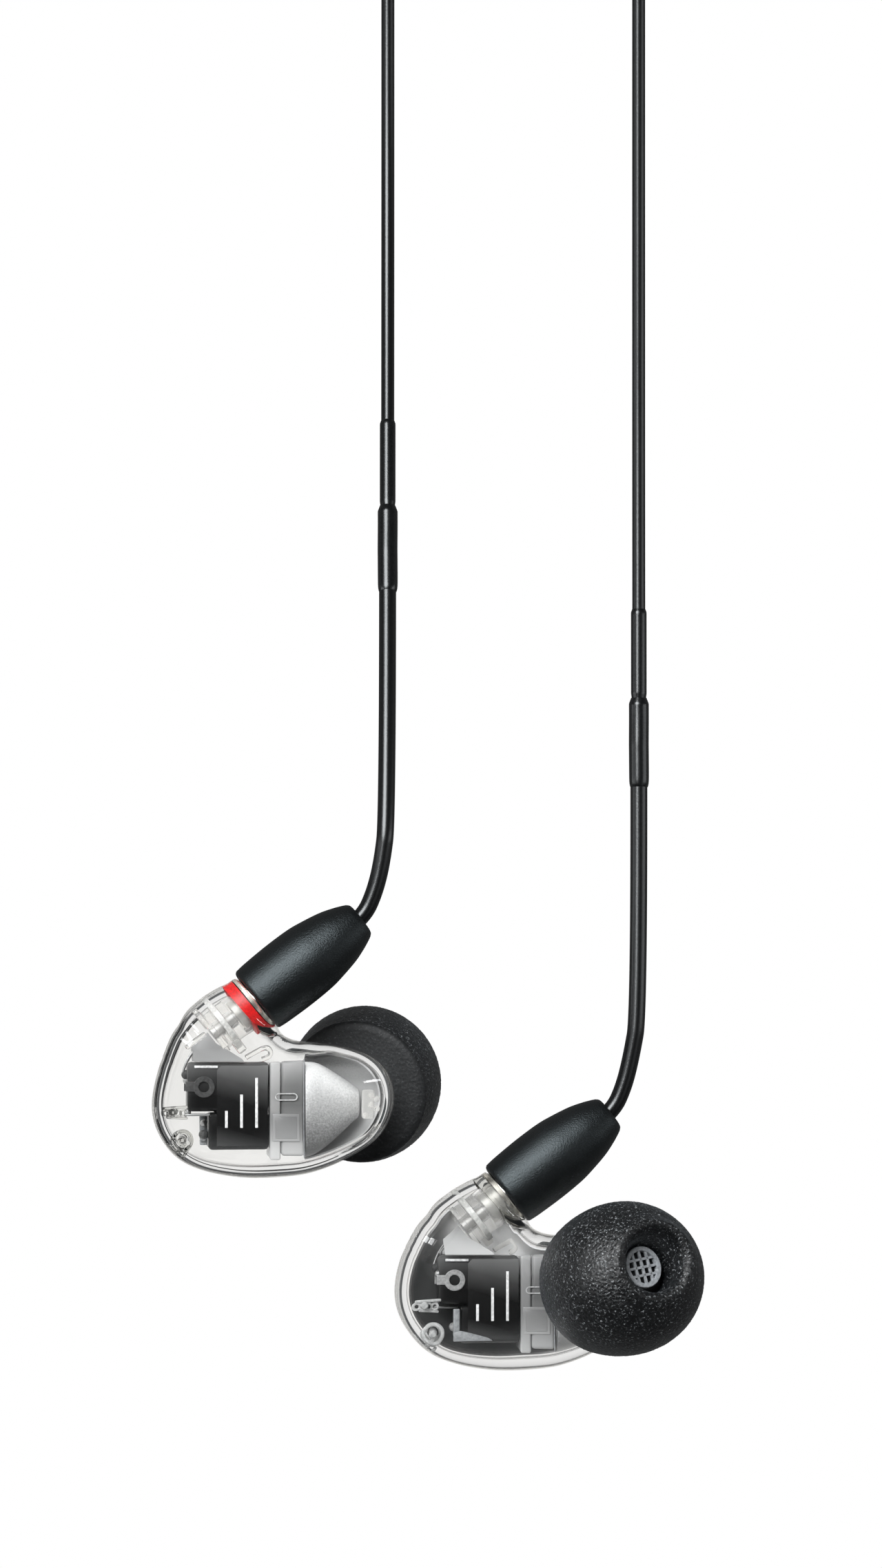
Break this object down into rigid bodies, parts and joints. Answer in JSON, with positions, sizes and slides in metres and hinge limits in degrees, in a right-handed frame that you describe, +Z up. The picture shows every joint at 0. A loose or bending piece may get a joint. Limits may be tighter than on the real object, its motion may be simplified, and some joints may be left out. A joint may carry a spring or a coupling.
{
  "type": "in ear monitors",
  "caption": "Pair of clear-shelled in-ear monitors with foam tips, swivelling detachable cable barrels, formed ear wires and a coiled stereo lead.",
  "frame": {"origin": "bottom centre of the two earphones with their barrels, on the table they lie on", "axes": "+Z up from the table, +Y the way the cables run from the earphones, +X from the right earphone towards the left one"},
  "size_m": [0.059, 0.2054, 0.0229],
  "materials": {
    "clear_shell": "clear polished",
    "rim_metal": "polished",
    "marker_red": "translucent gloss",
    "marker_clear": "translucent gloss",
    "jack_white": "gloss",
    "contact_gold": "polished",
    "board_grey": "satin",
    "driver_black": "satin",
    "carrier_grey": "satin translucent",
    "funnel_silver": "satin",
    "core_dark": "matte",
    "screen_grey": "satin",
    "foam_black": "matte foam",
    "barrel_black": "soft-touch satin",
    "plug_steel": "polished",
    "cable_black": "satin",
    "sleeve_black": "satin shrink sleeve",
    "tie_black": "matte"
  },
  "bodies": {
    "cables": {"coil_tie": "tie_black", "left_branch_coil": "cable_black", "left_branch_cord": "cable_black", "left_branch_tail": "cable_black", "left_connector_barrel": "barrel_black", "left_formed_wire": "cable_black", "left_lower_sleeve": "sleeve_black", "left_plug_collar": "rim_metal", "left_plug_pin": "contact_gold", "left_upper_sleeve": "sleeve_black", "main_coil": "cable_black", "main_lead": "cable_black", "main_tail": "cable_black", "plug_grip": "barrel_black", "plug_relief": "sleeve_black", "plug_ring": "contact_gold", "plug_sleeve": "contact_gold", "plug_spacer": "barrel_black", "plug_tip": "contact_gold", "right_branch_coil": "cable_black", "right_branch_cord": "cable_black", "right_branch_tail": "cable_black", "right_connector_barrel": "barrel_black", "right_formed_wire": "cable_black", "right_lower_sleeve": "sleeve_black", "right_plug_collar": "rim_metal", "right_plug_pin": "contact_gold", "right_upper_sleeve": "sleeve_black", "y_split": "barrel_black"},
    "right_ring": {"right_snap_ring": "plug_steel"},
    "right_earphone": {"right_outer_cover": "clear_shell", "right_inner_cover": "clear_shell", "right_jack_rim": "rim_metal", "right_marker_ring": "marker_red", "right_jack_body": "jack_white", "right_jack_contact": "contact_gold", "right_crossover_board": "board_grey", "right_driver_high": "driver_black", "right_driver_low": "driver_black", "right_driver_carrier": "carrier_grey", "right_acoustic_funnel": "funnel_silver"},
    "right_tip": {"right_tip_core": "core_dark", "right_tip_screen": "screen_grey", "right_foam_tip": "foam_black"},
    "left_ring": {"left_snap_ring": "plug_steel"},
    "left_earphone": {"left_outer_cover": "clear_shell", "left_inner_cover": "clear_shell", "left_jack_rim": "rim_metal", "left_marker_ring": "marker_clear", "left_jack_body": "jack_white", "left_jack_contact": "contact_gold", "left_crossover_board": "board_grey", "left_driver_high": "driver_black", "left_driver_low": "driver_black", "left_driver_carrier": "carrier_grey", "left_acoustic_funnel": "funnel_silver"},
    "left_tip": {"left_tip_core": "core_dark", "left_tip_screen": "screen_grey", "left_foam_tip": "foam_black"},
    "slider": {"neck_slider": "barrel_black"}
  },
  "joints": [
    {"name": "right_swivel", "type": "hinge", "parent": "cables", "child": "right_ring", "pos_m": [-0.01504, 0.01202, 0.01802], "axis": [0.7861, 0.6157, -0.055], "continuous": true},
    {"name": "right_unplug", "type": "slide", "parent": "right_ring", "child": "right_earphone", "axis": [-0.7861, -0.6157, 0.055], "range_m": [0, 0.0025]},
    {"name": "right_tip_pull", "type": "slide", "parent": "right_earphone", "child": "right_tip", "axis": [0.2357, 0.1606, -0.9585], "range_m": [0, 0.0045]},
    {"name": "left_swivel", "type": "hinge", "parent": "cables", "child": "left_ring", "pos_m": [0.0068, -0.00509, 0.00504], "axis": [0.7861, 0.6157, -0.055], "range_deg": [-60, 115]},
    {"name": "left_unplug", "type": "slide", "parent": "left_ring", "child": "left_earphone", "axis": [-0.7861, -0.6157, 0.055], "range_m": [0, 0.0025]},
    {"name": "left_tip_pull", "type": "slide", "parent": "left_earphone", "child": "left_tip", "axis": [0.3668, 0.1606, 0.9163], "range_m": [0, 0.0045]},
    {"name": "slider_slide", "type": "slide", "parent": "cables", "child": "slider", "axis": [0, 1, 0], "range_m": [0, 0.007]}
  ]
}
